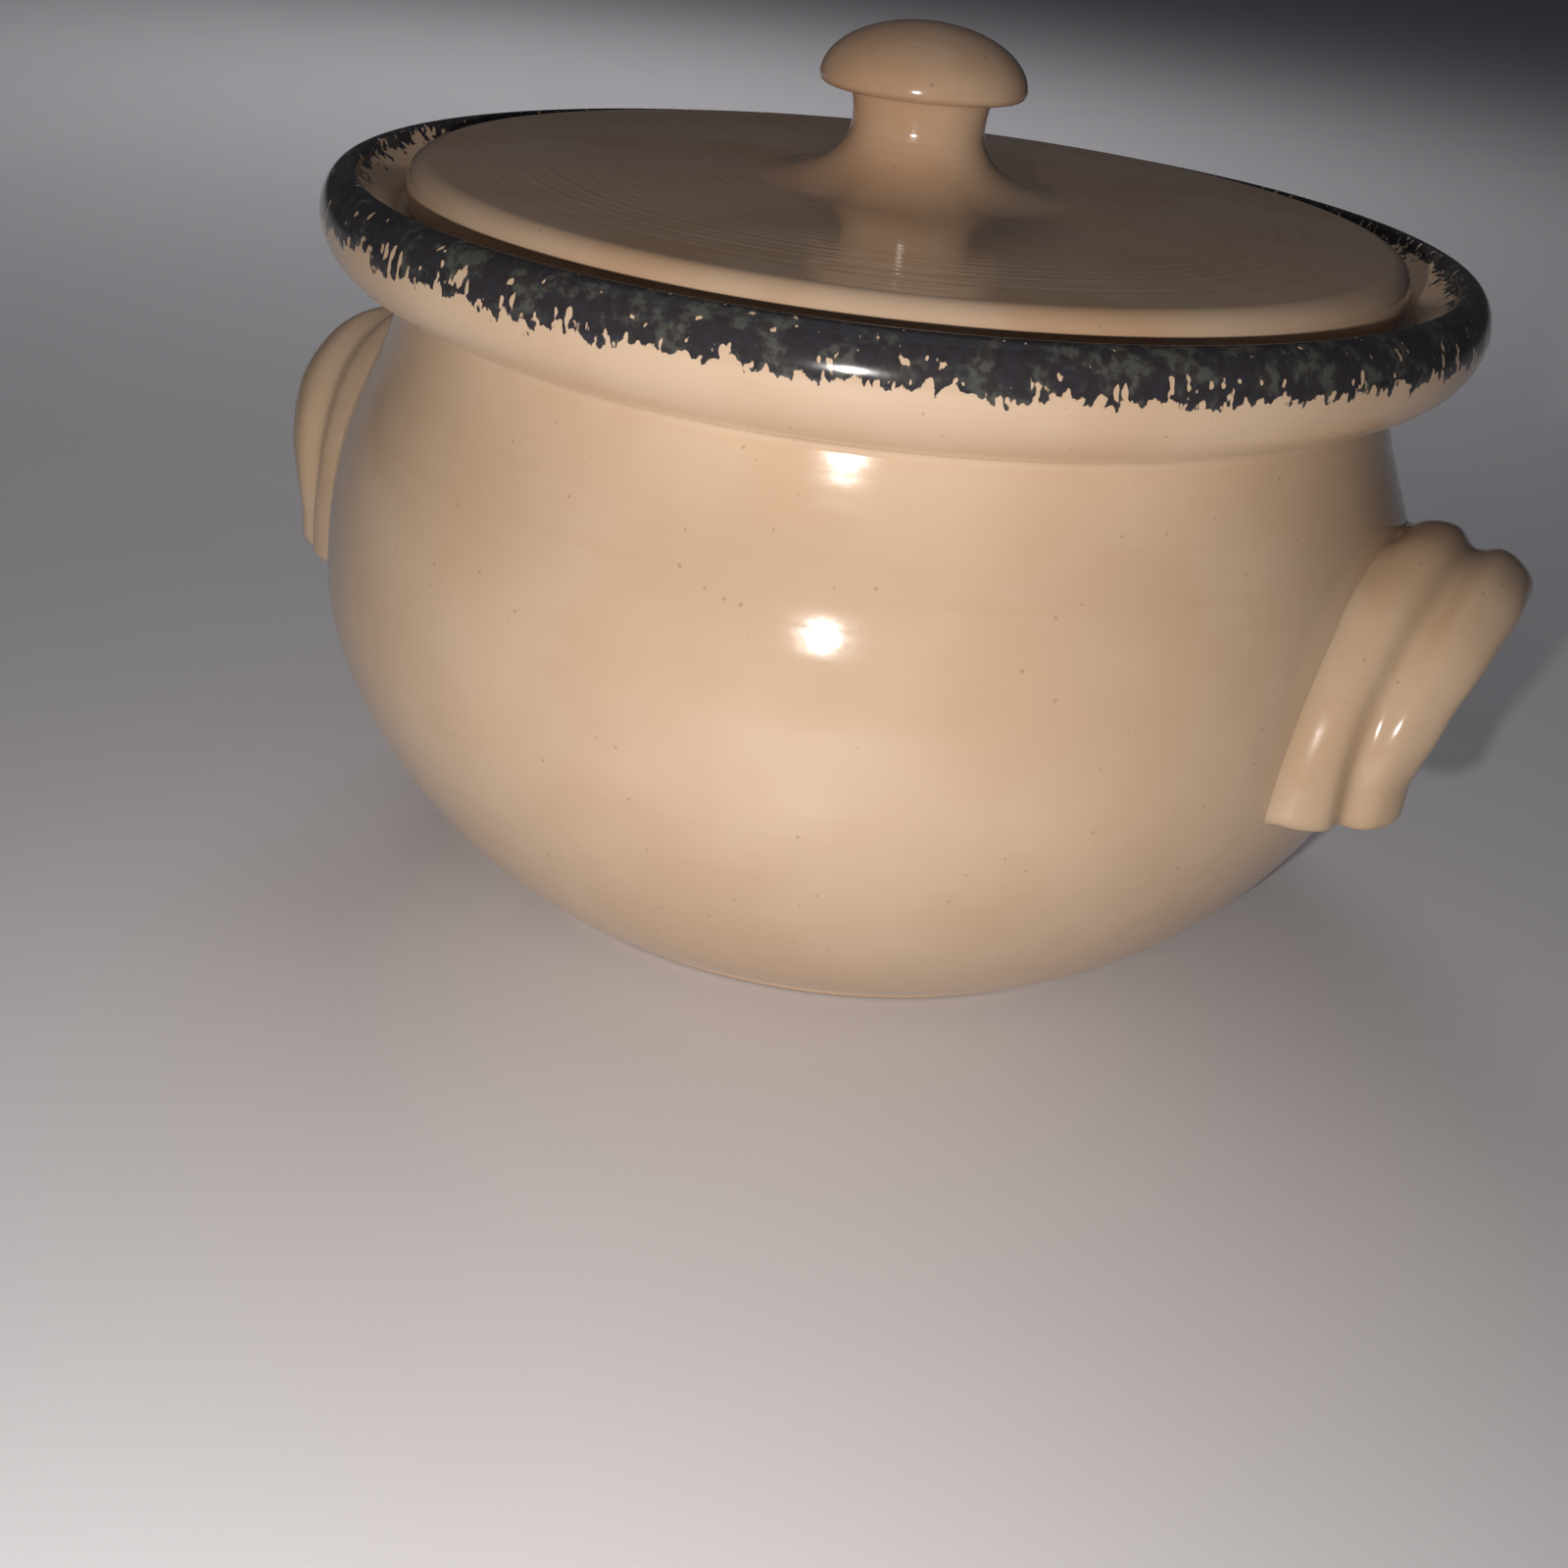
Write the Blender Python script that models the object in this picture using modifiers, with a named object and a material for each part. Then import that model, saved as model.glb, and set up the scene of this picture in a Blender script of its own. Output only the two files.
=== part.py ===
"""A glazed stoneware covered pot: a turned body with a rolled collar, two ear handles, and a lid with a knob.

Blender 4.5, metres, +Z up. The origin is on the pot's axis at the bottom of its foot ring, and the handles
lie on +X and -X. Run it with: blender --background --python part.py
"""

from math import cos, exp, pi, radians, sin

import bmesh
import bpy
from mathutils import Matrix, Vector
from mathutils.geometry import interpolate_bezier

# Body, outside
body_height = 0.1525  # foot to the crest of the collar
belly_radius = 0.1228
belly_height = 0.0655  # height of the widest ring
wall = 0.006
floor_thickness = 0.007
foot_radius = 0.0816
foot_width = 0.012
foot_recess = 0.0025  # how far the base lies above the foot ring
foot_rounding = 0.0025

# Collar and the gallery inside it, where the lid lies
collar_radius = 0.125
crest_inset = 0.0061  # crest to the collar's widest ring, across
crest_drop = 0.0088  # and down
groove_inset = 0.0175  # widest ring of the collar to the groove under it, across
groove_drop = 0.0247  # crest to the groove
lip_width = 0.0016  # crest to the inner edge of the lip
lip_drop = 0.0022
gallery_depth = 0.009  # crest to the ledge
gallery_slope = 0.0083  # how far the gallery's wall leans in on its way down
ledge_width = 0.011
ledge_edge = 0.002

# Lid
lid_play = 0.0014  # between the lid's edge and the foot of the gallery's wall
lid_proud = 0.0025  # the lid's edge stands this far above the crest
lid_dome = 0.0018  # rise from the edge to the seat of the knob
lid_edge_rounding = 0.005
lid_hollow = 0.003  # the underside is hollowed inside its seating land
lid_land = 0.010

# Knob
knob_foot_radius = 0.029
knob_foot_edge = 0.0006
knob_neck_radius = 0.0143
knob_neck_height = 0.0125  # foot to the narrowest ring of the neck
knob_cap_radius = 0.0222
knob_cap_height = 0.0207  # foot to the widest ring of the cap
knob_dome = 0.0125
knob_lip = 0.0019  # widest ring down to the underside of the cap

# Ear handles: a two-lobed strap bent to an arch, with its inner edge pressed on the wall all the way round
ear_half_span = 0.0394  # pot's side plane to a foot of the arch, at the centre line
ear_rise = 0.0355  # feet to the top of the arch, at the centre line
ear_top_drop = 0.0535  # crest to the top of the arch, at the centre line
ear_leg = 0.0056  # straight stretch below each side of the arch
ear_stand = 0.0084  # belly to the strap's centre line at the top of the arch
ear_foot_stand = 0.0048  # and at its feet
strap_width = 0.0289
strap_thickness = 0.0148
strap_groove = 0.003
strap_end_rounding = 0.003
lean_at_top = radians(14)  # how far the grooved face turns from the arch's outer side towards outward
lean_at_foot = radians(59)

# Clearance and fineness
seat_gap = 0.0003  # between pieces that touch
body_steps = 56
lid_steps = 48
knob_steps = 36

crest_z = body_height
crest_radius = collar_radius - crest_inset
groove_radius = collar_radius - groove_inset
lip_radius = crest_radius - lip_width
ledge_z = crest_z - gallery_depth
gallery_radius = lip_radius - gallery_slope
ledge_radius = gallery_radius - ledge_width
lid_radius = gallery_radius - lid_play
lid_under_z = ledge_z + seat_gap
lid_edge_z = crest_z + lid_proud
knob_seat_z = lid_edge_z + lid_dome
knob_foot_z = knob_seat_z + seat_gap


def clear_scene():
    for obj in list(bpy.data.objects):
        bpy.data.objects.remove(obj, do_unlink=True)


def collection(name):
    made = bpy.data.collections.new(name)
    bpy.context.scene.collection.children.link(made)
    return made


def glaze(name, colour, roughness):
    """A Principled BSDF for one fired surface."""
    material = bpy.data.materials.new(name)
    material.use_nodes = True
    shader = material.node_tree.nodes["Principled BSDF"]
    shader.inputs["Base Color"].default_value = (*colour, 1.0)
    shader.inputs["Roughness"].default_value = roughness
    shader.inputs["Metallic"].default_value = 0.0
    return material


def bezier(start, first_pull, second_pull, end, steps):
    """Points (radius, height) of one curved stretch, without its first point."""
    corners = [Vector((*point, 0.0)) for point in (start, first_pull, second_pull, end)]
    return [(p.x, p.y) for p in interpolate_bezier(*corners, steps + 1)][1:]


def quarter(start, end, flat_first, steps):
    """A quarter ellipse without its first point, leaving start level if flat_first, else upright."""
    (r0, z0), (r1, z1) = start, end
    turns = [pi / 2 * (i + 1) / steps for i in range(steps)]
    if flat_first:
        return [(r0 + (r1 - r0) * sin(a), z0 + (z1 - z0) * (1 - cos(a))) for a in turns]
    return [(r0 + (r1 - r0) * (1 - cos(a)), z0 + (z1 - z0) * sin(a)) for a in turns]


def turned(name, profile, steps, home):
    """A turned solid: the profile, given as (radius, height), spun about Z by a Screw modifier."""
    mesh = bpy.data.meshes.new(name)
    points = [(r, 0.0, z) for r, z in profile]
    mesh.from_pydata(points, [(i, i + 1) for i in range(len(points) - 1)], [])
    obj = bpy.data.objects.new(name, mesh)
    home.objects.link(obj)
    spin = obj.modifiers.new("Spin", "SCREW")
    spin.axis = "Z"
    spin.angle = 2 * pi
    spin.steps = spin.render_steps = steps
    spin.use_merge_vertices = True
    spin.merge_threshold = 0.00001
    spin.use_smooth_shade = True
    return obj


def outer_wall():
    """The outer side, from the crest over the collar and the groove to the foot."""
    widest = (collar_radius, crest_z - crest_drop)
    groove = (groove_radius, crest_z - groove_drop)
    belly = (belly_radius, belly_height)
    foot = (foot_radius, foot_rounding)
    shoulder = groove[1] - belly_height
    line = [(crest_radius, crest_z)]
    line += quarter(line[-1], widest, True, 4)
    under = widest[1] - groove[1]
    cove = (groove_radius + 0.003, groove[1] + 0.12 * under)
    line += bezier(widest, (collar_radius - 0.001, widest[1] - 0.78 * under), cove, groove, 5)
    first_pull = (groove_radius + 0.37 * (belly_radius - groove_radius), groove[1] - 0.4 * shoulder)
    line += bezier(groove, first_pull, (belly_radius, belly_height + 0.58 * shoulder), belly, 7)
    low_pull = (foot_radius + 0.32 * (belly_radius - foot_radius), foot[1] + 0.053 * (belly_height - foot[1]))
    line += bezier(belly, (belly_radius, foot[1] + 0.58 * (belly_height - foot[1])), low_pull, foot, 8)
    return line


def inner_wall():
    """The inner side, from the axis out over the floor and up to the ledge."""
    floor_z = foot_recess + floor_thickness
    belly = (belly_radius - wall, belly_height)
    under_ledge = (ledge_radius, ledge_z - wall + ledge_edge)
    rise = under_ledge[1] - belly_height
    line = [(0.0, floor_z), (0.62 * foot_radius, floor_z)]
    low_pull = (foot_radius + 0.5 * (belly[0] - foot_radius), floor_z)
    line += bezier(line[-1], low_pull, (belly[0], floor_z + 0.45 * (belly_height - floor_z)), belly, 7)
    first_pull = (belly[0], belly_height + 0.55 * rise)
    line += bezier(belly, first_pull, (ledge_radius, under_ledge[1] - 0.25 * rise), under_ledge, 6)
    return line


def body_profile():
    """Up the inside, over the crest, down the outside, and in under the foot ring."""
    profile = inner_wall()
    profile.append((ledge_radius, ledge_z - ledge_edge))
    profile += quarter(profile[-1], (ledge_radius + ledge_edge, ledge_z), False, 3)
    profile.append((gallery_radius, ledge_z))
    profile.append((lip_radius, crest_z - lip_drop))
    profile += quarter(profile[-1], (crest_radius, crest_z), False, 3)
    profile += outer_wall()[1:]
    profile += quarter(profile[-1], (foot_radius - foot_rounding, 0.0), False, 3)
    inner_foot = foot_radius - foot_width
    profile.append((inner_foot, 0.0))
    profile.append((inner_foot - foot_recess, foot_recess))
    profile.append((0.0, foot_recess))
    return profile


def make_body(home):
    body = turned("pot_body", body_profile(), body_steps, home)
    body.data.materials.append(glaze("buff_glaze", (0.58, 0.42, 0.27), 0.18))
    return body


def strap_ring():
    """The strap's section as (across, out) pairs: two lobes with a groove between them on the outer face."""
    corners = 20
    groove_spread = strap_width / 8
    ring = []
    for i in range(corners):
        turn = 2 * pi * i / corners
        across = strap_width / 2 * cos(turn)
        out = strap_thickness / 2 * abs(sin(turn)) ** 0.8
        if turn < pi:
            ring.append((across, out - strap_groove * exp(-((across / groove_spread) ** 2)) * sin(turn)))
        else:
            ring.append((across, -out))
    return ring


def arch_stations(steps):
    """Places along the arch, foot to foot: (along the wall, height), the heading there, and how far up it is."""
    centre_z = crest_z - ear_top_drop - ear_rise
    foot_z = centre_z - ear_leg
    stations = [((-ear_half_span, foot_z), (0.0, 1.0), 0.0)]
    for i in range(steps + 1):
        turn = pi * i / steps
        place = (-ear_half_span * cos(turn), centre_z + ear_rise * sin(turn))
        stations.append((place, (ear_half_span * sin(turn), ear_rise * cos(turn)), sin(turn)))
    stations.append(((ear_half_span, foot_z), (0.0, -1.0), 0.0))
    return stations


def strap_sections():
    """One ring of points for each place on the arch. The strap leans outward more towards its feet."""
    ring = strap_ring()
    sections = []
    for (side, height), (along_side, along_up), rise in arch_stations(22):
        reach = belly_radius + ear_foot_stand + (ear_stand - ear_foot_stand) * rise
        lean = lean_at_foot + (lean_at_top - lean_at_foot) * rise
        azimuth = side / reach
        outward = Vector((cos(azimuth), sin(azimuth), 0.0))
        sideways = Vector((-sin(azimuth), cos(azimuth), 0.0))
        centre = outward * reach + Vector((0.0, 0.0, height))
        heading = (sideways * along_side + Vector((0.0, 0.0, along_up))).normalized()
        over = outward.cross(heading)
        wide = outward * cos(lean) - over * sin(lean)
        face = over * cos(lean) + outward * sin(lean)
        sections.append([centre + wide * a + face * o for a, o in ring])
    return [rounded_end(sections[0]), *sections, rounded_end(sections[-1])]


def rounded_end(section):
    """The ring that closes a square foot: its section, drawn in and lowered by the end's rounding."""
    centre = sum(section, Vector()) / len(section)
    drawn_in = [point + (centre - point).normalized() * strap_end_rounding for point in section]
    return [point - Vector((0.0, 0.0, strap_end_rounding)) for point in drawn_in]


def loft(name, sections, home):
    """A closed solid through rings of equal length: the strap turns on its line, which no curve bevel does evenly."""
    shell = bmesh.new()
    rings = [[shell.verts.new(point) for point in section] for section in sections]
    for first, second in zip(rings, rings[1:]):
        for i in range(len(first)):
            j = (i + 1) % len(first)
            shell.faces.new((first[i], first[j], second[j], second[i]))
    shell.faces.new(rings[0])
    shell.faces.new(list(reversed(rings[-1])))
    bmesh.ops.recalc_face_normals(shell, faces=shell.faces)
    mesh = bpy.data.meshes.new(name)
    shell.to_mesh(mesh)
    shell.free()
    mesh.shade_smooth()
    obj = bpy.data.objects.new(name, mesh)
    home.objects.link(obj)
    return obj


def make_wall_cutter(home):
    """The body's outer shape, larger by the seat gap, which trims the handles to the wall."""
    grown = [(r + seat_gap, z) for r, z in outer_wall()]
    profile = [(0.0, crest_z), *grown, (0.0, grown[-1][1])]
    cutter = turned("wall_cutter", profile, body_steps, home)
    cutter.hide_render = True
    cutter.display_type = "WIRE"
    return cutter


def make_handle(name, turn, cutter, home):
    """One ear handle, turned about the pot's axis and trimmed to the wall with a seat gap."""
    handle = loft(name, strap_sections(), home)
    handle.matrix_world = Matrix.Rotation(turn, 4, "Z")
    handle.data.materials.append(glaze(f"buff_glaze_{name}", (0.56, 0.40, 0.26), 0.22))
    trim = handle.modifiers.new("Trim to the wall", "BOOLEAN")
    trim.operation = "DIFFERENCE"
    trim.solver = "EXACT"
    trim.object = cutter
    return handle


def lid_profile():
    """The lid's top from the knob's seat out to the edge, and its underside back to the axis."""
    seat_radius = knob_foot_radius + 0.002
    profile = [(0.0, knob_seat_z), (seat_radius, knob_seat_z)]
    flat_edge = (lid_radius - lid_edge_rounding, lid_edge_z)
    bulge = (0.5 * (seat_radius + flat_edge[0]), knob_seat_z - 0.2 * lid_dome)
    profile += bezier(profile[-1], bulge, bulge, flat_edge, 4)
    profile += quarter(flat_edge, (lid_radius, lid_edge_z - lid_edge_rounding), True, 4)
    profile += quarter(profile[-1], (lid_radius - 0.002, lid_under_z), False, 3)
    land = lid_radius - lid_land
    profile.append((land, lid_under_z))
    profile.append((land - lid_hollow, lid_under_z + lid_hollow))
    profile.append((0.0, lid_under_z + lid_hollow))
    return profile


def make_lid(home):
    lid = turned("lid", lid_profile(), lid_steps, home)
    lid.data.materials.append(glaze("buff_glaze_lid", (0.50, 0.36, 0.24), 0.10))
    return lid


def knob_profile():
    """The knob from the crown of its cap down the neck to its spreading foot on the lid."""
    cap = (knob_cap_radius, knob_foot_z + knob_cap_height)
    under_z = cap[1] - knob_lip
    neck = (knob_neck_radius, knob_foot_z + knob_neck_height)
    foot = (knob_foot_radius, knob_foot_z + knob_foot_edge)
    profile = [(0.0, cap[1] + knob_dome)]
    profile += quarter(profile[-1], cap, True, 7)
    profile += quarter(cap, (knob_cap_radius - 0.003, under_z), False, 3)
    profile.append((knob_neck_radius + 0.0015, under_z))
    profile += bezier(profile[-1], (knob_neck_radius, under_z), (neck[0], neck[1] + 0.001), neck, 3)
    fall = neck[1] - foot[1]
    spread = foot[0] - neck[0]
    profile += bezier(neck, (neck[0], neck[1] - 0.55 * fall), (foot[0] - 0.55 * spread, foot[1] + 0.12 * fall), foot, 6)
    profile.append((knob_foot_radius, knob_foot_z))
    profile.append((0.0, knob_foot_z))
    return profile


def make_knob(home):
    knob = turned("lid_knob", knob_profile(), knob_steps, home)
    knob.data.materials.append(glaze("buff_glaze_knob", (0.54, 0.38, 0.25), 0.14))
    return knob


def main():
    clear_scene()
    pot = collection("covered_pot")
    cutter = make_wall_cutter(collection("cutters"))
    make_body(pot)
    make_handle("right_handle", 0.0, cutter, pot)
    make_handle("left_handle", pi, cutter, pot)
    make_lid(pot)
    make_knob(pot)


main()
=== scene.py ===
"""The looks of a covered stoneware pot: buff gloss glaze, a sponged dark band on the collar, a loose lid."""

from math import atan2, cos, exp, hypot, pi, radians, sin, sqrt

import bmesh
import bpy
from mathutils import Matrix, Vector
from mathutils.geometry import interpolate_bezier


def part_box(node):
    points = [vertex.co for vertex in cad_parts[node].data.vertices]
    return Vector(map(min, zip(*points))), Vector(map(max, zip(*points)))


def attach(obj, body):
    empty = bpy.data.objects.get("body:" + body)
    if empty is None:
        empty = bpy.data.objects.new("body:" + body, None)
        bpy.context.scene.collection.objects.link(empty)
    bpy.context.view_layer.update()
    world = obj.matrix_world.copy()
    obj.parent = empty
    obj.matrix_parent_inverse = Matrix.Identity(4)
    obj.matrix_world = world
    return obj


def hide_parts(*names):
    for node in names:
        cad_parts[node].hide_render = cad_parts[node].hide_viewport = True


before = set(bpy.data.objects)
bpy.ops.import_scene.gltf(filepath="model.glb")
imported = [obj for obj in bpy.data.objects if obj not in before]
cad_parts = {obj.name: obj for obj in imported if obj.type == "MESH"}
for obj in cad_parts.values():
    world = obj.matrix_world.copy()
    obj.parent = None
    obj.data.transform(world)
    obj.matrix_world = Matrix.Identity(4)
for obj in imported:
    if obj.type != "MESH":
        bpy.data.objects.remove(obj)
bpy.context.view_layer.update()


# ---------------------------------------------------------------------------------------------------------
# The pot body: buff stoneware clay thrown on a wheel. The collar is rolled outward over a cut groove, and a
# ledge is pressed inside it for the lid. It is glazed all over but for the ring it stands on, and the collar
# is dabbed with a sponge in dark blue and grey-green slip before firing.
# ---------------------------------------------------------------------------------------------------------
mm = 0.001
pot_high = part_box("pot_body")[1]
collar_radius = pot_high[0]
crest_z = pot_high[2]
crest_radius = collar_radius - 6.1 * mm
collar_drop = 8.8 * mm
groove_radius = collar_radius - 17.5 * mm
groove_drop = 24.7 * mm
belly_radius = collar_radius - 2.2 * mm
belly_height = 65.5 * mm
wall = 6 * mm
foot_radius = 81.6 * mm
foot_width = 12 * mm
foot_recess = 2.5 * mm
foot_rounding = 2.5 * mm
floor_thickness = 7 * mm
floor_z = foot_recess + floor_thickness
lip_radius = crest_radius - 1.6 * mm
lip_drop = 2.2 * mm
gallery_depth = 9 * mm
gallery_cove = 1.5 * mm
ledge_z = crest_z - gallery_depth
gallery_radius = lip_radius - 8.3 * mm
ledge_width = 11 * mm
ledge_radius = gallery_radius - ledge_width
ledge_edge = 2 * mm
finger_pitch = 5.5 * mm
finger_depth = 0.010 * mm
finger_tremor = 0.006 * mm
ovality = 0.0012
body_turns = 256


def bezier(start, first_pull, second_pull, end, steps):
    """Points (radius, height) of one curved stretch, without its first point."""
    corners = [Vector((*point, 0.0)) for point in (start, first_pull, second_pull, end)]
    return [(p.x, p.y) for p in interpolate_bezier(*corners, steps + 1)][1:]


def straight(start, end, steps):
    """Evenly spaced points of one straight stretch, without its first point."""
    (r0, z0), (r1, z1) = start, end
    return [(r0 + (r1 - r0) * i / steps, z0 + (z1 - z0) * i / steps) for i in range(1, steps + 1)]


def quarter(start, end, flat_first, steps):
    """A quarter ellipse without its first point, leaving start level if flat_first, else upright."""
    (r0, z0), (r1, z1) = start, end
    turns = [pi / 2 * (i + 1) / steps for i in range(steps)]
    if flat_first:
        return [(r0 + (r1 - r0) * sin(a), z0 + (z1 - z0) * (1 - cos(a))) for a in turns]
    return [(r0 + (r1 - r0) * (1 - cos(a)), z0 + (z1 - z0) * sin(a)) for a in turns]


def outer_wall():
    """The outer side, from the crest over the collar and the groove to the foot."""
    widest = (collar_radius, crest_z - collar_drop)
    groove = (groove_radius, crest_z - groove_drop)
    belly = (belly_radius, belly_height)
    foot = (foot_radius, foot_rounding)
    shoulder = groove[1] - belly_height
    under = widest[1] - groove[1]
    cove = (groove[0] + 3 * mm, groove[1] + 0.12 * under)
    line = [(crest_radius, crest_z)]
    line += quarter(line[-1], widest, True, 14)
    line += bezier(widest, (widest[0] - 1 * mm, widest[1] - 0.78 * under), cove, groove, 16)
    first_pull = (groove[0] + 0.37 * (belly[0] - groove[0]), groove[1] - 0.4 * shoulder)
    line += bezier(groove, first_pull, (belly[0], belly[1] + 0.58 * shoulder), belly, 56)
    low_pull = (foot[0] + 0.32 * (belly[0] - foot[0]), foot[1] + 0.053 * (belly[1] - foot[1]))
    line += bezier(belly, (belly[0], foot[1] + 0.58 * (belly[1] - foot[1])), low_pull, foot, 72)
    return line


def inner_wall():
    """The inner side, from the axis out over the floor and up to the ledge."""
    belly = (belly_radius - wall, belly_height)
    under_ledge = (ledge_radius, ledge_z - wall + ledge_edge)
    rise = under_ledge[1] - belly_height
    line = [(0.0, floor_z)]
    line += straight(line[-1], (0.62 * foot_radius, floor_z), 6)
    low_pull = (foot_radius + 0.5 * (belly[0] - foot_radius), floor_z)
    line += bezier(line[-1], low_pull, (belly[0], floor_z + 0.45 * (belly_height - floor_z)), belly, 28)
    high_pull = (ledge_radius, under_ledge[1] - 0.25 * rise)
    line += bezier(belly, (belly[0], belly_height + 0.55 * rise), high_pull, under_ledge, 24)
    return line


def body_outline():
    """The body's section: up the inside, over the ledge and the crest, down the outside, under the foot."""
    outline = inner_wall()
    outline.append((ledge_radius, ledge_z - ledge_edge))
    outline += quarter(outline[-1], (ledge_radius + ledge_edge, ledge_z), False, 5)
    outline += straight(outline[-1], (gallery_radius - gallery_cove, ledge_z), 4)
    outline += quarter(outline[-1], (gallery_radius + 0.5 * gallery_cove, ledge_z + gallery_cove), True, 5)
    outline += straight(outline[-1], (lip_radius, crest_z - lip_drop), 6)
    outline += quarter(outline[-1], (crest_radius, crest_z), False, 8)
    outline += outer_wall()[1:]
    outline += quarter(outline[-1], (foot_radius - foot_rounding, 0.0), False, 6)
    inner_foot = foot_radius - foot_width
    outline += straight(outline[-1], (inner_foot + 1 * mm, 0.0), 3)
    outline += quarter(outline[-1], (inner_foot - foot_recess, foot_recess), True, 5)
    outline += straight(outline[-1], (0.0, foot_recess), 4)
    return outline


def turned(name, outline, turns, shape):
    """An outline spun about Z. shape(r, z, azimuth) gives each point's real radius and height."""
    spun = bmesh.new()
    points = [spun.verts.new((r, 0.0, z)) for r, z in outline]
    edges = [spun.edges.new(pair) for pair in zip(points, points[1:])]
    axis, centre = (0, 0, 1), (0, 0, 0)
    whole = points + edges
    bmesh.ops.spin(spun, geom=whole, axis=axis, cent=centre, angle=2 * pi, steps=turns, use_merge=True)
    bmesh.ops.remove_doubles(spun, verts=spun.verts, dist=1e-6)
    for vert in spun.verts:
        radius, azimuth = hypot(vert.co.x, vert.co.y), atan2(vert.co.y, vert.co.x)
        r, z = shape(radius, vert.co.z, azimuth)
        vert.co = (r * cos(azimuth), r * sin(azimuth), z)
    bmesh.ops.recalc_face_normals(spun, faces=spun.faces)
    mesh = bpy.data.meshes.new(name)
    spun.to_mesh(mesh)
    spun.free()
    mesh.shade_smooth()
    obj = bpy.data.objects.new(name, mesh)
    bpy.context.scene.collection.objects.link(obj)
    return obj


def throwing_lines(height, azimuth):
    """How far the wall stands out where the fingers climbed it: a shallow spiral of uneven pitch."""
    climb = 2 * pi * height / finger_pitch + azimuth
    return finger_depth * sin(climb + 1.7 * sin(0.23 * climb)) + finger_tremor * sin(2.37 * climb + 0.6)


def thrown_body(r, z, azimuth):
    """The body as it left the wheel: faintly oval, with throwing lines on its upright walls."""
    upright = min(max((r - foot_radius) / (20 * mm), 0.0), 1.0)
    oval = ovality * sin(2 * azimuth + 0.6) * min(r / belly_radius, 1.0)
    return r * (1 + oval * upright) + upright * throwing_lines(z, azimuth), z


def linear(code):
    """An sRGB hex colour as the linear RGBA that Blender takes."""
    channels = [int(code[i : i + 2], 16) / 255 for i in (1, 3, 5)]
    return (*[c / 12.92 if c <= 0.04045 else ((c + 0.055) / 1.055) ** 2.4 for c in channels], 1.0)


math_node, noise = "ShaderNodeMath", "ShaderNodeTexNoise"
remap, mix = "ShaderNodeMapRange", "ShaderNodeMix"


def add(tree, kind, inputs, **settings):
    """Adds a node with its settings. An input takes a value, an output, or a node for its first output."""
    made = tree.nodes.new(kind)
    for key, value in settings.items():
        setattr(made, key, value)
    for socket, value in inputs.items():
        if isinstance(value, bpy.types.Node):
            value = value.outputs[0]
        if isinstance(value, bpy.types.NodeSocket):
            tree.links.new(value, made.inputs[socket])
        else:
            made.inputs[socket].default_value = value
    return made


glass_ior = 1.5
pool_size = 34 * mm
ring_pitch = 2.6 * mm
speck_spacing = 3.2 * mm
peel_size = 2.2 * mm
peel_depth = 0.012 * mm
comb_pitch = 1.7 * mm


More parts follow.
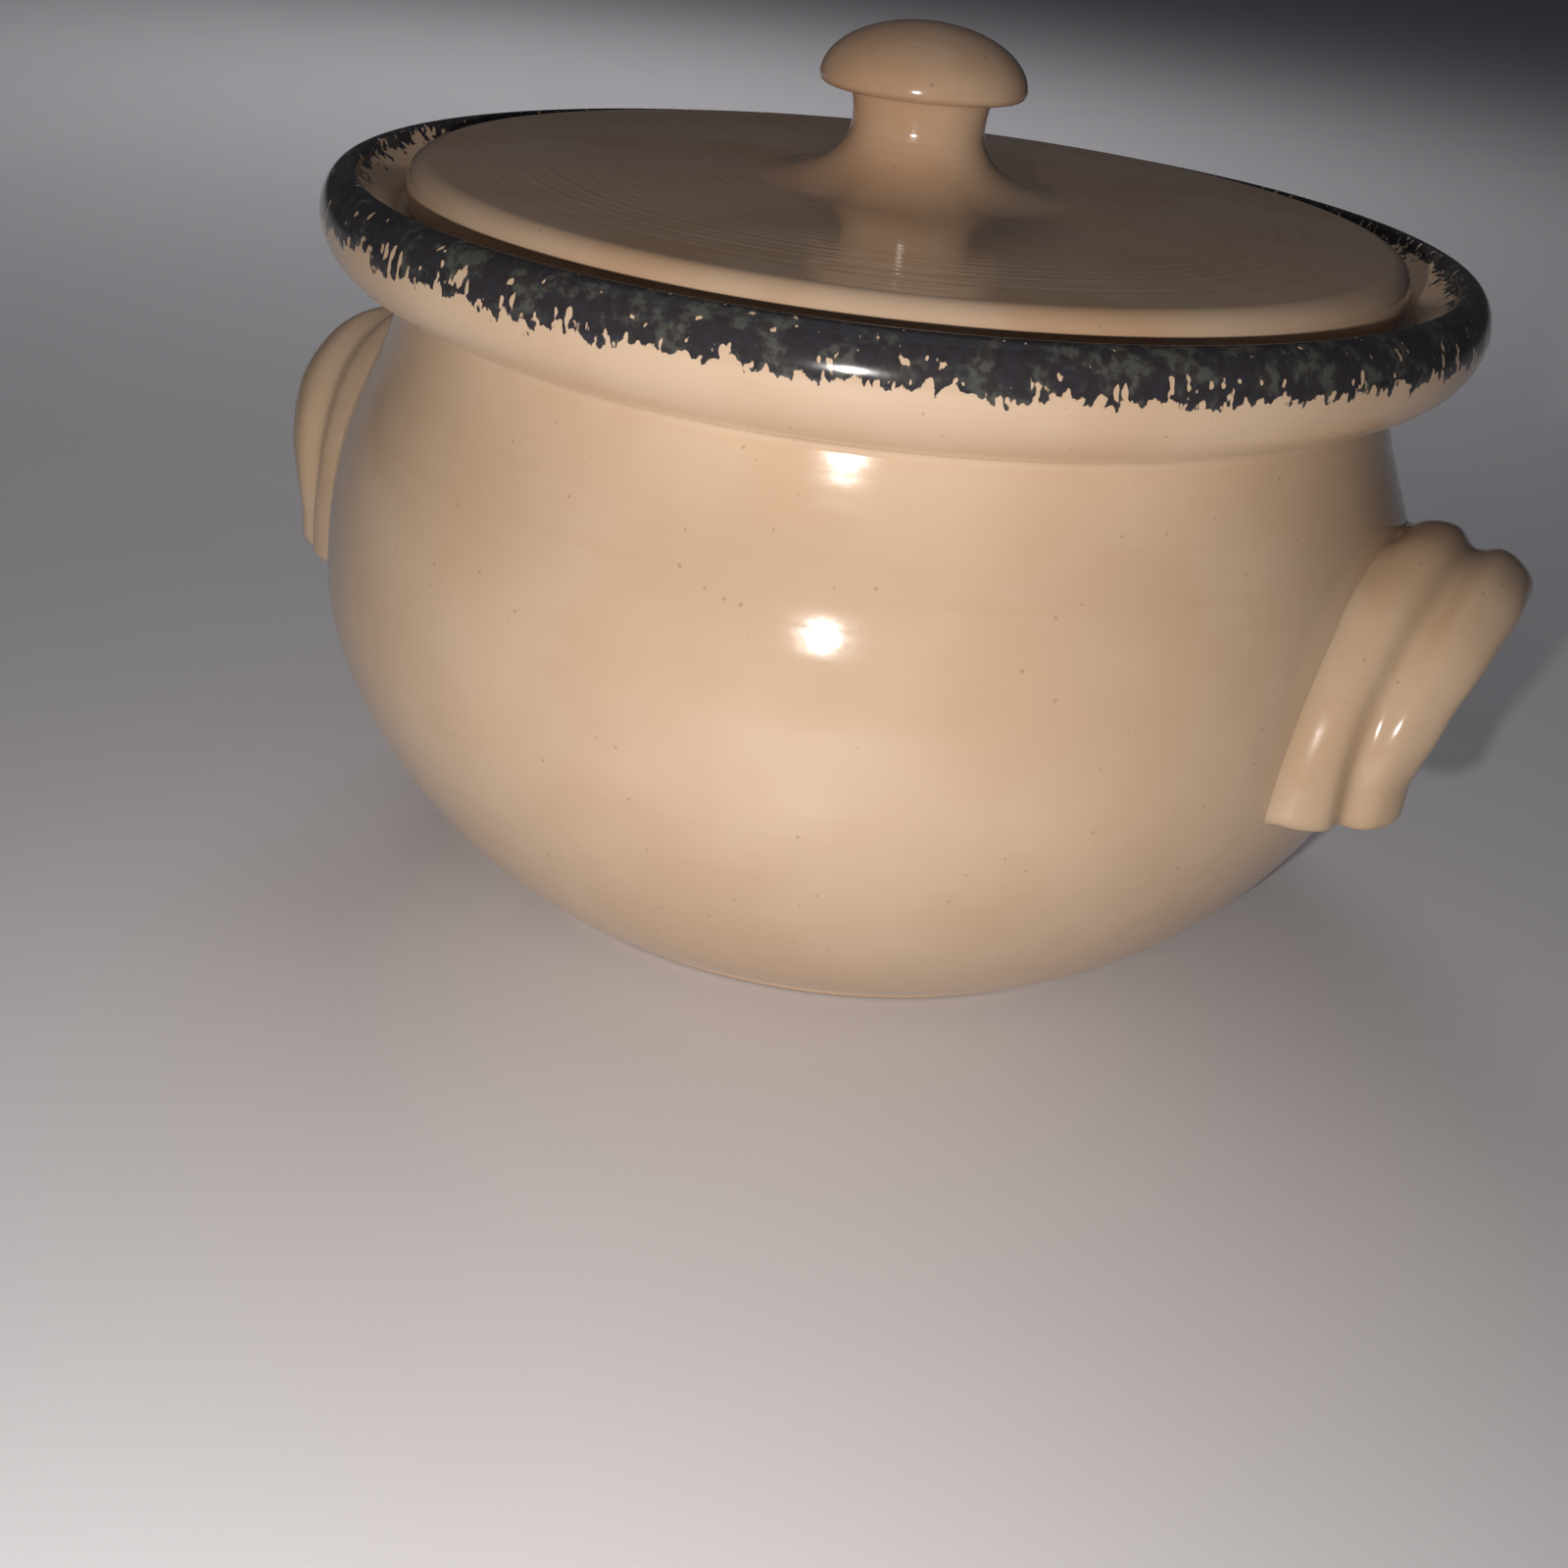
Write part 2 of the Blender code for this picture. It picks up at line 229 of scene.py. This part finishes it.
def glazed_stoneware(name, body_colour, warm_colour, speck_colour, roughness, lines):
    """Buff stoneware under a clear gloss glaze. lines is the depth in mm of the marks the wheel's tools left.

    The glaze breaks warmer where it is thin and along the wheel's rings. Iron in the clay burns through as
    fine specks. The surface has the soft orange peel of a melted glaze, over the fine combing of the tools.
    """
    material = bpy.data.materials.new(name)
    material.use_nodes = True
    tree = material.node_tree
    shader = tree.nodes["Principled BSDF"]
    shader.inputs["IOR"].default_value = glass_ior
    place = add(tree, "ShaderNodeTexCoord", {}).outputs["Object"]
    split = add(tree, "ShaderNodeSeparateXYZ", {0: place})
    height = split.outputs["Z"]
    flat = add(tree, "ShaderNodeCombineXYZ", {"X": split.outputs["X"], "Y": split.outputs["Y"]})
    radius = add(tree, "ShaderNodeVectorMath", {0: flat}, operation="LENGTH").outputs["Value"]
    wheel = add(tree, "ShaderNodeCombineXYZ", {"X": radius, "Z": height})

    pools = add(tree, noise, {"Vector": place, "Scale": 1 / pool_size, "Detail": 3.0})
    pools = add(tree, remap, {"Value": pools, 1: 0.32, 2: 0.68}, interpolation_type="SMOOTHSTEP")
    rings = add(tree, noise, {"Vector": wheel, "Scale": 1 / ring_pitch, "Detail": 2.0})
    rings = add(tree, remap, {"Value": rings, 1: 0.55, 2: 0.8, 4: 0.3}, interpolation_type="SMOOTHSTEP")
    warmth = add(tree, math_node, {0: pools, 1: rings}, operation="ADD", use_clamp=True)
    links = {0: warmth, 6: linear(body_colour), 7: linear(warm_colour)}
    colour = add(tree, mix, links, data_type="RGBA").outputs[2]

    grains = add(tree, "ShaderNodeTexVoronoi", {"Vector": place, "Scale": 1 / speck_spacing})
    chance = add(tree, "ShaderNodeSeparateXYZ", {0: grains.outputs["Color"]})
    reach = add(tree, math_node, {0: chance.outputs["X"], 1: 0.16, 2: -0.02}, operation="MULTIPLY_ADD")
    specks = add(tree, math_node, {0: grains.outputs["Distance"], 1: reach}, operation="LESS_THAN")
    rare = add(tree, math_node, {0: chance.outputs["Y"], 1: 0.55}, operation="GREATER_THAN")
    faint = add(tree, math_node, {0: rare, 1: 0.3}, operation="MULTIPLY")
    specks = add(tree, math_node, {0: specks, 1: faint}, operation="MULTIPLY")
    links = {0: specks, 6: colour, 7: linear(speck_colour)}
    colour = add(tree, mix, links, data_type="RGBA").outputs[2]

    peel = add(tree, noise, {"Vector": place, "Scale": 1 / peel_size, "Detail": 1.0})
    peel = add(tree, "ShaderNodeBump", {"Height": peel, "Strength": 1.0, "Distance": peel_depth})
    combing = add(tree, noise, {"Vector": wheel, "Scale": 1 / comb_pitch, "Detail": 2.0})
    links = {"Height": combing, "Strength": 1.0, "Distance": lines * mm, "Normal": peel}
    bump = add(tree, "ShaderNodeBump", links)
    gloss = add(tree, math_node, {0: pools, 1: 0.04, 2: roughness}, operation="MULTIPLY_ADD")
    tree.links.new(colour, shader.inputs["Base Color"])
    tree.links.new(bump.outputs[0], shader.inputs["Normal"])
    tree.links.new(gloss.outputs[0], shader.inputs["Roughness"])
    return material, colour, place, radius, height


band_depth = 8.6 * mm
band_inside_less = 5.4 * mm
tooth_size = 1.9 * mm
clump_size = 5 * mm
pore_size = 2.1 * mm
patch_size = 7 * mm
dab_size = 2.0 * mm
rag_reach = 8 * mm


def sponge_cover(tree, place, radius, height):
    """How far the sponged slip covers the clay: to the collar's widest ring, ragged, with pin holes in it."""
    depth = add(tree, math_node, {0: crest_z, 1: height}, operation="SUBTRACT")
    upright = add(tree, "ShaderNodeVectorMath", {0: place, 1: (1.0, 1.0, 0.55)}, operation="MULTIPLY")
    teeth = add(tree, noise, {"Vector": upright, "Scale": 1 / tooth_size, "Detail": 2.0})
    clumps = add(tree, noise, {"Vector": place, "Scale": 1 / clump_size, "Detail": 2.0})
    rag = add(tree, math_node, {0: clumps, 1: rag_reach, 2: -rag_reach}, operation="MULTIPLY_ADD")
    rag = add(tree, math_node, {0: teeth, 1: rag_reach, 2: rag}, operation="MULTIPLY_ADD")
    inside = add(tree, math_node, {0: radius, 1: crest_radius - 0.4 * mm}, operation="LESS_THAN")
    links = {0: inside, 1: -band_inside_less, 2: band_depth}
    reach = add(tree, math_node, links, operation="MULTIPLY_ADD")
    reach = add(tree, math_node, {0: reach, 1: rag}, operation="ADD")
    spare = add(tree, math_node, {0: reach, 1: depth}, operation="SUBTRACT")
    links = {"Value": spare, 1: -0.12 * mm, 2: 0.3 * mm}
    cover = add(tree, remap, links, interpolation_type="SMOOTHSTEP")
    pores = add(tree, noise, {"Vector": upright, "Scale": 1 / pore_size, "Detail": 1.5})
    limit = add(tree, remap, {"Value": spare, 1: 0.0, 2: 7 * mm, 3: 0.57, 4: 0.70})
    pores = add(tree, math_node, {0: limit, 1: pores}, operation="SUBTRACT")
    sound = add(tree, remap, {"Value": pores, 1: -0.03, 2: 0.0, 4: 0.96}, interpolation_type="SMOOTHSTEP")
    return add(tree, math_node, {0: cover, 1: sound}, operation="MULTIPLY")


def sponge_band(tree, colour, place, radius, height):
    """Two slips dabbed over the collar: near-black blue, with dull grey-green showing between the dabs."""
    cover = sponge_cover(tree, place, radius, height)
    links = {"Vector": place, "Scale": 1 / patch_size, "Detail": 3.0, "Roughness": 0.6}
    patches = add(tree, noise, links)
    patches = add(tree, remap, {"Value": patches, 1: 0.47, 2: 0.60}, interpolation_type="SMOOTHSTEP")
    links = {0: patches, 6: linear("#1E2433"), 7: linear("#474C49")}
    slip = add(tree, mix, links, data_type="RGBA").outputs[2]
    dabs = add(tree, noise, {"Vector": place, "Scale": 1 / dab_size, "Detail": 3.0})
    dabs = add(tree, remap, {"Value": dabs, 1: 0.42, 2: 0.60, 4: 0.8}, interpolation_type="SMOOTHSTEP")
    links = {0: dabs, 6: slip, 7: linear("#161A24")}
    slip = add(tree, mix, links, data_type="RGBA").outputs[2]
    return add(tree, mix, {0: cover, 6: colour, 7: slip}, data_type="RGBA").outputs[2]


bare_sway_size = 6 * mm
bare_sway = 0.8 * mm
bare_from = 0.9 * mm
bare_to = 1.6 * mm


def body_glaze():
    """The body's glaze, with the sponged band above and a bare, matt ring of clay below."""
    made = glazed_stoneware("Buff gloss glaze", "#D6BDA2", "#D0B497", "#7A5A40", 0.14, 0.008)
    material, colour, place, radius, height = made
    tree = material.node_tree
    shader = tree.nodes["Principled BSDF"]
    colour = sponge_band(tree, colour, place, radius, height)
    sway = add(tree, noise, {"Vector": place, "Scale": 1 / bare_sway_size})
    edge = add(tree, math_node, {0: sway, 1: bare_sway, 2: height}, operation="MULTIPLY_ADD")
    bare = add(tree, remap, {"Value": edge, 1: bare_to, 2: bare_from}, interpolation_type="SMOOTHSTEP")
    colour = add(tree, mix, {0: bare, 6: colour, 7: linear("#B89A7A")}, data_type="RGBA").outputs[2]
    matt = add(tree, math_node, {0: bare, 1: 0.5, 2: 0.13}, operation="MULTIPLY_ADD")
    tree.links.new(colour, shader.inputs["Base Color"])
    tree.links.new(matt.outputs[0], shader.inputs["Roughness"])
    return material


pot = turned("Pot_body_glazed", body_outline(), body_turns, thrown_body)
pot.data.materials.append(body_glaze())
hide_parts("pot_body")
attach(pot, "pot")


# ---------------------------------------------------------------------------------------------------------
# The ear handles: on each side a strap of the same clay, pulled by hand so that it has two soft lobes and a
# groove between them, bent to an arch and pressed on the wall along its inner edge. The feet are cut square.
# ---------------------------------------------------------------------------------------------------------
ear_half_span = 39.4 * mm
ear_rise = 35.5 * mm
ear_leg = 5.6 * mm
ear_stand = 8.4 * mm
ear_foot_stand = 4.8 * mm
strap_width = 28.9 * mm
strap_thickness = 14.8 * mm
strap_groove = 3.2 * mm
groove_half_width = strap_width / 8
strap_rounding = 3 * mm
lean_at_top = radians(14)
lean_at_foot = radians(59)
fillet = 4 * mm
fillet_sink = 0.6 * mm  # how far the fillet's top is sunk, so that it leaves the strap without a step
foot_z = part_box("right_handle")[0][2] + strap_rounding
arch_z = foot_z + ear_leg
ring_points = 112
arch_steps = 150
leg_steps = 8


def strap_ring():
    """Points (across, out) round the strap: two lobes with a groove between them on the outer face."""
    ring = []
    for i in range(ring_points):
        turn = 2 * pi * i / ring_points
        across = strap_width / 2 * cos(turn)
        out = strap_thickness / 2 * abs(sin(turn)) ** 0.8
        if turn < pi:
            dip = strap_groove * exp(-((across / groove_half_width) ** 2)) * sin(turn)
            ring.append((across, out - dip))
        else:
            ring.append((across, -out))
    return ring


def arch_stations():
    """Places along the arch, foot to foot: (along the wall, height), the heading, and how far up it is."""
    legs = [foot_z + ear_leg * i / leg_steps for i in range(leg_steps)]
    stations = [((-ear_half_span, z), (0.0, 1.0), 0.0) for z in legs]
    for i in range(arch_steps + 1):
        turn = pi * i / arch_steps
        place = (-ear_half_span * cos(turn), arch_z + ear_rise * sin(turn))
        stations.append((place, (ear_half_span * sin(turn), ear_rise * cos(turn)), sin(turn)))
    return stations + [((ear_half_span, z), (0.0, -1.0), 0.0) for z in reversed(legs)]


def strap_sections():
    """The strap's rings with their centres. The hand that pulled it left its thickness faintly uneven."""
    ring = strap_ring()
    sections = []
    for k, ((side, height), (along_side, along_up), rise) in enumerate(arch_stations()):
        reach = belly_radius + ear_foot_stand + (ear_stand - ear_foot_stand) * rise
        lean = lean_at_foot + (lean_at_top - lean_at_foot) * rise
        azimuth = side / reach
        outward = Vector((cos(azimuth), sin(azimuth), 0.0))
        sideways = Vector((-sin(azimuth), cos(azimuth), 0.0))
        centre = outward * reach + Vector((0.0, 0.0, height))
        heading = (sideways * along_side + Vector((0.0, 0.0, along_up))).normalized()
        over = outward.cross(heading)
        wide = outward * cos(lean) - over * sin(lean)
        face = over * cos(lean) + outward * sin(lean)
        pull = 1 + 0.012 * sin(0.11 * k + 0.7) + 0.008 * sin(0.29 * k)
        sections.append((centre, [centre + (wide * a + face * o) * pull for a, o in ring]))
    return square_end(*sections[0])[::-1] + sections + square_end(*sections[-1])


def square_end(centre, section):
    """Rings that round the edge of a cut foot over and close on its middle."""
    rings = []
    for i in range(1, 7):
        turn = pi / 2 * i / 6
        inset, lower = strap_rounding * (1 - cos(turn)), strap_rounding * sin(turn)
        rings.append([p + (centre - p).normalized() * inset - Vector((0, 0, lower)) for p in section])
    last = rings[-1]
    middle = Vector((centre.x, centre.y, last[0].z))
    rings += [[p.lerp(middle, share) for p in last] for share in (0.3, 0.6, 0.85)]
    return [(centre, ring) for ring in rings]


wall_line = sorted((z, r) for r, z in outer_wall())


def wall_radius(height):
    """The body's outer radius at a height."""
    for (z0, r0), (z1, r1) in zip(wall_line, wall_line[1:]):
        if z0 <= height <= z1 and z1 > z0:
            return r0 + (r1 - r0) * (height - z0) / (z1 - z0)
    return wall_line[0][1] if height < wall_line[0][0] else wall_line[-1][1]


def smooth_in(centre, point):
    """Spreads the strap along the wall where it meets it, as a finger smooths the joint into a fillet."""
    radius, azimuth = hypot(point.x, point.y), atan2(point.y, point.x)
    distance = radius - wall_radius(point.z)
    if distance >= fillet:
        return point
    along = radius * (azimuth - atan2(centre.y, centre.x))
    up = point.z - centre.z
    length = max(hypot(along, up), 1 * mm)
    near = min(max(fillet - fillet_sink - distance, 0.0), fillet)
    push = fillet - sqrt(fillet**2 - near**2)
    azimuth += push * along / length / radius
    height = point.z + push * up / length
    radius = wall_radius(height) + distance
    return Vector((radius * cos(azimuth), radius * sin(azimuth), height))


def ear_mesh(name):
    """The ear on the +X side, as one closed skin."""
    shell = bmesh.new()
    rings = [[shell.verts.new(smooth_in(centre, p)) for p in ring] for centre, ring in strap_sections()]
    for first, second in zip(rings, rings[1:]):
        for i in range(ring_points):
            j = (i + 1) % ring_points
            shell.faces.new((first[i], first[j], second[j], second[i]))
    shell.faces.new(rings[0])
    shell.faces.new(list(reversed(rings[-1])))
    bmesh.ops.recalc_face_normals(shell, faces=shell.faces)
    mesh = bpy.data.meshes.new(name)
    shell.to_mesh(mesh)
    shell.free()
    mesh.shade_smooth()
    return mesh


ear_glaze = glazed_stoneware("Buff gloss glaze on ears", "#D3BA9F", "#C9AC8D", "#7A5A40", 0.15, 0.0)[0]
for side, azimuth in (("right", 0.0), ("left", pi)):
    ear_shell = ear_mesh(f"Ear_{side}")
    ear_shell.transform(Matrix.Rotation(azimuth, 4, "Z"))
    ear_shell.materials.append(ear_glaze)
    ear = bpy.data.objects.new(f"Ear_handle_{side}", ear_shell)
    bpy.context.scene.collection.objects.link(ear)
    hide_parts(f"{side}_handle")
    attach(ear, "pot")


# ---------------------------------------------------------------------------------------------------------
# The lid: a disc of the same clay, turned thin and trimmed nearly flat, with a rounded edge. The tool has
# left fine rings all over it, coarser round the knob and near the edge, which the gloss glaze still shows.
# ---------------------------------------------------------------------------------------------------------
lid_low, lid_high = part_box("lid")
lid_radius = lid_high[0]
lid_under_z = lid_low[2]
lid_top_z = lid_high[2]
lid_dome = 1.8 * mm
lid_bulge_drop = 0.36 * mm
lid_edge_z = lid_top_z - lid_dome
lid_rounding = 5 * mm
lid_hollow = 3 * mm
lid_land = 10 * mm
knob_seat_radius = 31 * mm
tool_pitch = 2.1 * mm
inner_belt, inner_belt_width = 40 * mm, 7 * mm
outer_belt, outer_belt_width = 84 * mm, 12 * mm


def lid_outline():
    """The lid's section: over the top to the rounded edge, and back under over a shallow hollow."""
    seat = (knob_seat_radius, lid_top_z)
    flat_edge = (lid_radius - lid_rounding, lid_edge_z)
    bulge = (0.5 * (seat[0] + flat_edge[0]), lid_top_z - lid_bulge_drop)
    outline = [(0.0, lid_top_z)]
    outline += straight(outline[-1], seat, 6)
    outline += bezier(seat, bulge, bulge, flat_edge, 120)
    outline += quarter(flat_edge, (lid_radius, lid_edge_z - lid_rounding), True, 12)
    outline += quarter(outline[-1], (lid_radius - 2 * mm, lid_under_z), False, 8)
    land = lid_radius - lid_land
    outline += straight(outline[-1], (land, lid_under_z), 4)
    outline += quarter(outline[-1], (land - lid_hollow, lid_under_z + lid_hollow), True, 6)
    outline += straight(outline[-1], (0.0, lid_under_z + lid_hollow), 8)
    return outline


def turning_rings(radius, azimuth):
    """How far the lid's top stands up where the tool travelled: a spiral, deeper in two belts."""
    travel = 2 * pi * radius / tool_pitch + azimuth
    belts = exp(-(((radius - inner_belt) / inner_belt_width) ** 2))
    belts += exp(-(((radius - outer_belt) / outer_belt_width) ** 2))
    return (0.010 + 0.030 * belts) * mm * sin(travel + 1.9 * sin(0.31 * travel))


def turned_lid(r, z, azimuth):
    """The lid's own turning rings, on its top only."""
    on_top = z > lid_edge_z - 1 * mm and knob_seat_radius < r < lid_radius - lid_rounding
    return r, z + (turning_rings(r, azimuth) if on_top else 0.0)


lid = turned("Lid_glazed", lid_outline(), body_turns, turned_lid)
lid.data.materials.append(
    glazed_stoneware("Buff gloss glaze on the lid", "#CEB49A", "#C4A384", "#6F5138", 0.07, 0.022)[0]
)
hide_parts("lid")
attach(lid, "cover")


# ---------------------------------------------------------------------------------------------------------
# The knob: thrown on the lid as a waisted neck under a domed cap, and drawn out at its foot until it runs
# into the lid. The glaze lies thinner on it than on the body, so it fires warmer.
# ---------------------------------------------------------------------------------------------------------
knob_low, knob_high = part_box("lid_knob")
knob_top_z = knob_high[2]
cap_radius = 22.2 * mm
cap_z = knob_top_z - 12.5 * mm
cap_lip = 1.9 * mm
neck_radius = 14.3 * mm
neck_z = knob_low[2] + 12.5 * mm
knob_foot_radius = 37 * mm
knob_foot_depth = 0.9 * mm
knob_line_pitch = 1.9 * mm
knob_line_depth = 0.02 * mm
knob_turns = 160


def knob_outline():
    """The knob's section: over the cap, in under its lip, and down the neck to its foot in the lid."""
    under_z = cap_z - cap_lip
    foot = (knob_foot_radius, lid_top_z - 0.12 * mm)
    outline = [(0.0, knob_top_z)]
    outline += quarter(outline[-1], (cap_radius, cap_z), True, 36)
    outline += quarter(outline[-1], (cap_radius - 3 * mm, under_z), False, 10)
    outline += straight(outline[-1], (neck_radius + 1.8 * mm, under_z), 5)
    neck = (neck_radius, neck_z)
    upper_pull = (neck_radius + 0.2 * mm, under_z)
    outline += bezier(outline[-1], upper_pull, (neck_radius, neck_z + 1.5 * mm), neck, 10)
    fall = neck_z - foot[1]
    spread = foot[0] - neck_radius
    first_pull = (neck_radius, neck_z - 0.60 * fall)
    outline += bezier(outline[-1], first_pull, (foot[0] - 0.62 * spread, foot[1] + 0.02 * fall), foot, 44)
    outline.append((knob_foot_radius, lid_top_z - knob_foot_depth))
    outline += straight(outline[-1], (0.0, lid_top_z - knob_foot_depth), 4)
    return outline


def turned_knob(r, z, azimuth):
    """The knob's own turning lines, faint on the neck and its foot."""
    lines = knob_line_depth * sin(2 * pi * z / knob_line_pitch + azimuth)
    return r + (lines if z < cap_z - cap_lip and r > 2 * mm else 0.0), z


knob = turned("Knob_glazed", knob_outline(), knob_turns, turned_knob)
knob.data.materials.append(
    glazed_stoneware("Buff gloss glaze on the knob", "#D3B79C", "#C8A485", "#6F5138", 0.10, 0.014)[0]
)
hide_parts("lid_knob")
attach(knob, "cover")


# ---------------------------------------------------------------------------------------------------------
# The floor: one wide sheet of pale grey laminate, pressed smooth, with a soft sheen. The pot stands on it
# loose, and it isn't part of the object.
# ---------------------------------------------------------------------------------------------------------
floor_reach = 6.0
cloud_size = 90 * mm
grain_size = 1.2 * mm
grain_depth = 0.02 * mm
laminate_roughness = 0.42


def laminate():
    """Pale grey laminate, smooth and slightly glossy."""
    material = bpy.data.materials.new("Pale laminate")
    material.use_nodes = True
    tree = material.node_tree
    shader = tree.nodes["Principled BSDF"]
    place = add(tree, "ShaderNodeTexCoord", {}).outputs["Object"]
    clouds = add(tree, noise, {"Vector": place, "Scale": 1 / cloud_size, "Detail": 3.0})
    links = {0: clouds, 6: linear("#E4E4EA"), 7: linear("#EAEAEF")}
    colour = add(tree, mix, links, data_type="RGBA")
    grain = add(tree, noise, {"Vector": place, "Scale": 1 / grain_size})
    bump = add(tree, "ShaderNodeBump", {"Height": grain, "Strength": 1.0, "Distance": grain_depth})
    tree.links.new(colour.outputs[2], shader.inputs["Base Color"])
    tree.links.new(bump.outputs[0], shader.inputs["Normal"])
    shader.inputs["Roughness"].default_value = laminate_roughness
    return material


sheet = bmesh.new()
bmesh.ops.create_grid(sheet, x_segments=2, y_segments=2, size=floor_reach)
floor_mesh = bpy.data.meshes.new("Floor")
sheet.to_mesh(floor_mesh)
sheet.free()
floor_mesh.materials.append(laminate())
floor = bpy.data.objects.new("Floor", floor_mesh)
bpy.context.scene.collection.objects.link(floor)


# ---------------------------------------------------------------------------------------------------------
# The camera: about half a metre from the pot's axis and a hand above the rim. It looks down at the belly and
# is tilted a little to one side.
# ---------------------------------------------------------------------------------------------------------
camera_azimuth = radians(-68.6)
camera_distance = 478.7 * mm
camera_height = crest_z + 82 * mm
camera_yaw = -0.0282
camera_pitch = 0.4370
camera_roll = 0.1073
lens_mm = 49.5
sensor_mm = 36
nearest_seen = 10 * mm


def view_axes():
    """The camera's right, up and forward directions."""
    heading = camera_azimuth + pi / 2
    level = Vector((-sin(heading - camera_yaw), cos(heading - camera_yaw), 0.0))
    forward = level * cos(camera_pitch) - Vector((0, 0, 1)) * sin(camera_pitch)
    side = level.cross(Vector((0, 0, 1)))
    top = side.cross(forward)
    right = side * cos(camera_roll) + top * sin(camera_roll)
    up = top * cos(camera_roll) - side * sin(camera_roll)
    return right, up, forward


right, up, forward = view_axes()
camera_data = bpy.data.cameras.new("Camera")
camera_data.lens = lens_mm
camera_data.sensor_width = sensor_mm
camera_data.clip_start = nearest_seen
camera = bpy.data.objects.new("Camera", camera_data)
stand = Vector((cos(camera_azimuth) * camera_distance, sin(camera_azimuth) * camera_distance, camera_height))
turn = Matrix((right, up, -forward)).transposed().to_4x4()
camera.matrix_world = Matrix.Translation(stand) @ turn
bpy.context.scene.collection.objects.link(camera)
bpy.context.scene.camera = camera


# ---------------------------------------------------------------------------------------------------------
# The light: a small flash low beside the camera with some spill below it, a weak soft box overhead, a wash
# on the floor behind the pot that no gloss mirrors, and a dim grey room.
# ---------------------------------------------------------------------------------------------------------
def lamp(name, place, aim, size, watts, colour):
    """A round lamp at place that shines towards aim."""
    data = bpy.data.lights.new(name, "AREA")
    data.shape = "DISK"
    data.size = size
    data.energy = watts
    data.color = linear(colour)[:3]
    obj = bpy.data.objects.new(name, data)
    obj.location = place
    obj.rotation_euler = (aim - place).to_track_quat("-Z", "Y").to_euler()
    bpy.context.scene.collection.objects.link(obj)
    return obj


pot_middle = Vector((0, 0, 0.5 * crest_z))
flash = stand - 57 * mm * right - 40 * mm * up
lamp("Flash", flash, pot_middle, 11 * mm, 1.38, "#FFF8F2")
spill = stand - 62 * mm * right - 62 * mm * up
lamp("Flash_spill", spill, pot_middle, 10 * mm, 0.08, "#FFF8F2")
behind = Vector((-stand.x, -stand.y, 0.0)).normalized()
wash_place = 1.1 * behind + Vector((-0.25, 0.0, 0.9))
wash_aim = 0.9 * behind + Vector((-0.3, 0.0, 0.0))
wash = lamp("Back_wash", wash_place, wash_aim, 0.7, 4.5, "#FFFCFA")
wash.visible_glossy = False
lamp("Soft_box", Vector((-0.3, 0.2, 1.9)), pot_middle, 1.6, 1.0, "#F2F4FF")

world = bpy.data.worlds.new("Grey room")
world.use_nodes = True
room = world.node_tree.nodes["Background"]
room.inputs["Color"].default_value = linear("#7A7A82")
room.inputs["Strength"].default_value = 0.13
bpy.context.scene.world = world
bpy.context.scene.view_settings.view_transform = "Standard"
